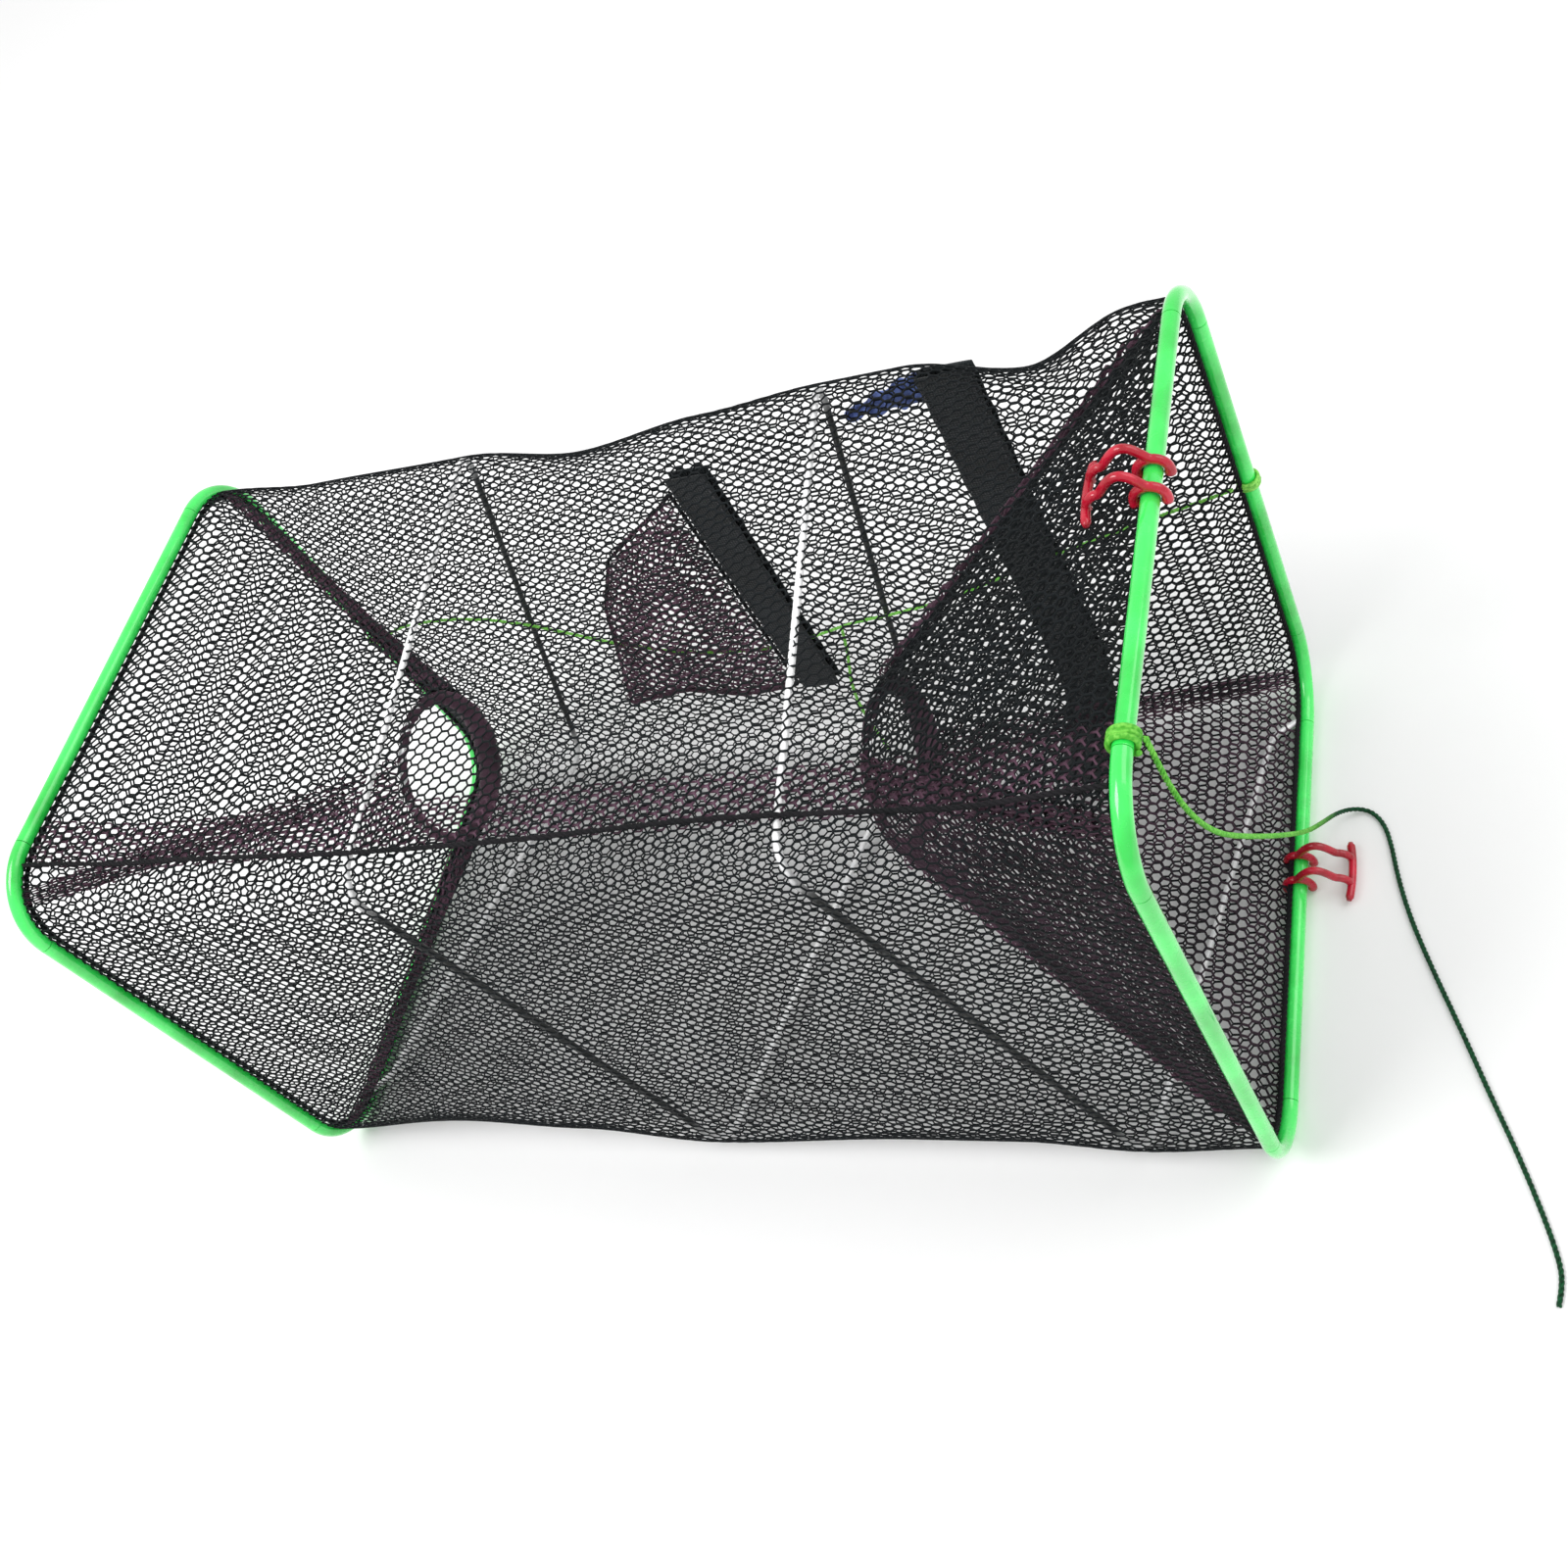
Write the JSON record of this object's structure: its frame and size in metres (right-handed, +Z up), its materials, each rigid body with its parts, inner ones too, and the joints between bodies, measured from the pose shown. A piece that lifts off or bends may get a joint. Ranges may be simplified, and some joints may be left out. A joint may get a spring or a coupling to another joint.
{
  "type": "folding crab trap",
  "caption": "Square net trap on a collapsing spring-wire coil, with tube-sleeved end frames, inward funnels, hook-and-loop closures, bait pocket and folding clips.",
  "frame": {"origin": "on the floor under the middle of the trap and its clips, midway between the front and back faces", "axes": "+X along the trap towards the end with the clips and the haul cord, +Y towards the back face with the two tape closures, +Z up"},
  "size_m": [0.5604, 0.2911, 0.2521],
  "materials": {
    "green_tubing": "soft PVC tubing pushed over the wire, glossy, with creases at the joints",
    "zinc_wire": "galvanised spring wire, bright and slightly dull",
    "net_rope": "rolled and stitched net edge",
    "black_netting": "knotless hexagonal twine mesh",
    "hook_tape": "woven hook tape",
    "loop_tape": "woven loop tape with a brushed nap",
    "blue_tab": "folded blue ribbon",
    "lime_line": "thin braided line",
    "green_cord": "braided polyester cord",
    "red_plastic": "moulded, glossy"
  },
  "bodies": {
    "left_end": {"left_frame_wire": "zinc_wire", "left_net_hem": "net_rope", "left_back_sleeve": "green_tubing", "left_top_sleeve": "green_tubing", "left_front_sleeve": "green_tubing", "left_bottom_sleeve": "green_tubing", "left_top_back_corner_sleeve": "green_tubing", "left_top_front_corner_sleeve": "green_tubing", "left_bottom_front_corner_sleeve": "green_tubing", "left_bottom_back_corner_sleeve": "green_tubing", "spring_coil_wire": "zinc_wire", "net_back_panel": "black_netting", "net_top_panel": "black_netting", "net_front_panel": "black_netting", "net_bottom_panel": "black_netting", "net_seam": "net_rope", "left_funnel_net": "black_netting", "bait_line": "lime_line", "bait_line_tail": "lime_line", "bait_line_left_knot": "lime_line"},
    "right_end": {"right_frame_wire": "zinc_wire", "right_net_hem": "net_rope", "right_back_sleeve": "green_tubing", "right_top_sleeve": "green_tubing", "right_front_sleeve": "green_tubing", "right_bottom_sleeve": "green_tubing", "right_top_back_corner_sleeve": "green_tubing", "right_top_front_corner_sleeve": "green_tubing", "right_bottom_front_corner_sleeve": "green_tubing", "right_bottom_back_corner_sleeve": "green_tubing", "right_funnel_net": "black_netting", "bait_line_right_knot": "lime_line", "haul_cord": "green_cord", "haul_cord_knot": "green_cord"},
    "left_throat": {"left_throat_ring": "zinc_wire", "left_throat_hem": "net_rope"},
    "right_throat": {"right_throat_ring": "zinc_wire", "right_throat_hem": "net_rope"},
    "bait_pocket": {"bait_pocket_net": "black_netting", "pocket_inner_tape": "hook_tape"},
    "pocket_flap": {"pocket_outer_tape": "loop_tape"},
    "access_closure": {"access_inner_tape": "hook_tape", "access_tape_tail": "hook_tape"},
    "access_flap": {"access_outer_tape": "loop_tape", "access_pull_tab": "blue_tab"},
    "top_clip": {"top_clip": "red_plastic"},
    "bottom_clip": {"bottom_clip": "red_plastic"}
  },
  "joints": [
    {"name": "fold", "type": "slide", "parent": "left_end", "child": "right_end", "axis": [-1, 0, 0], "range_m": [0, 0.444], "stiffness_N_per_m": 20, "deforming": ["spring_coil_wire", "net_back_panel", "net_top_panel", "net_front_panel", "net_bottom_panel", "net_seam", "left_funnel_net", "right_funnel_net", "bait_line", "bait_line_tail", "bait_pocket_net"]},
    {"name": "left_throat_travel", "type": "slide", "parent": "left_end", "child": "left_throat", "axis": [-1, 0, 0], "range_m": [0, 0.09962]},
    {"name": "right_throat_travel", "type": "slide", "parent": "left_end", "child": "right_throat", "axis": [-1, 0, 0], "range_m": [0, 0.31556]},
    {"name": "pocket_travel", "type": "slide", "parent": "left_end", "child": "bait_pocket", "axis": [-1, 0, 0], "range_m": [0, 0.24006]},
    {"name": "access_travel", "type": "slide", "parent": "left_end", "child": "access_closure", "axis": [-1, 0, 0], "range_m": [0, 0.34628]},
    {"name": "pocket_open", "type": "hinge", "parent": "bait_pocket", "child": "pocket_flap", "pos_m": [-0.01469, 0.115, 0.1243], "axis": [0, 0, 1], "range_deg": [0, 90]},
    {"name": "access_open", "type": "hinge", "parent": "access_closure", "child": "access_flap", "pos_m": [0.13703, 0.115, 0.1243], "axis": [0, 0, -1], "range_deg": [0, 90]},
    {"name": "top_clip_swing", "type": "hinge", "parent": "right_end", "child": "top_clip", "pos_m": [0.22025, 0.013, 0.2453], "axis": [0, 1, 0], "range_deg": [0, 180]},
    {"name": "bottom_clip_swing", "type": "hinge", "parent": "right_end", "child": "bottom_clip", "pos_m": [0.22025, 0.013, 0.0033], "axis": [0, 1, 0], "range_deg": [0, 180]}
  ],
  "couplings": [
    {"joint": "left_throat_travel", "follows": "fold", "ratio": 0.22437},
    {"joint": "right_throat_travel", "follows": "fold", "ratio": 0.71072},
    {"joint": "pocket_travel", "follows": "fold", "ratio": 0.54067},
    {"joint": "access_travel", "follows": "fold", "ratio": 0.77991}
  ]
}
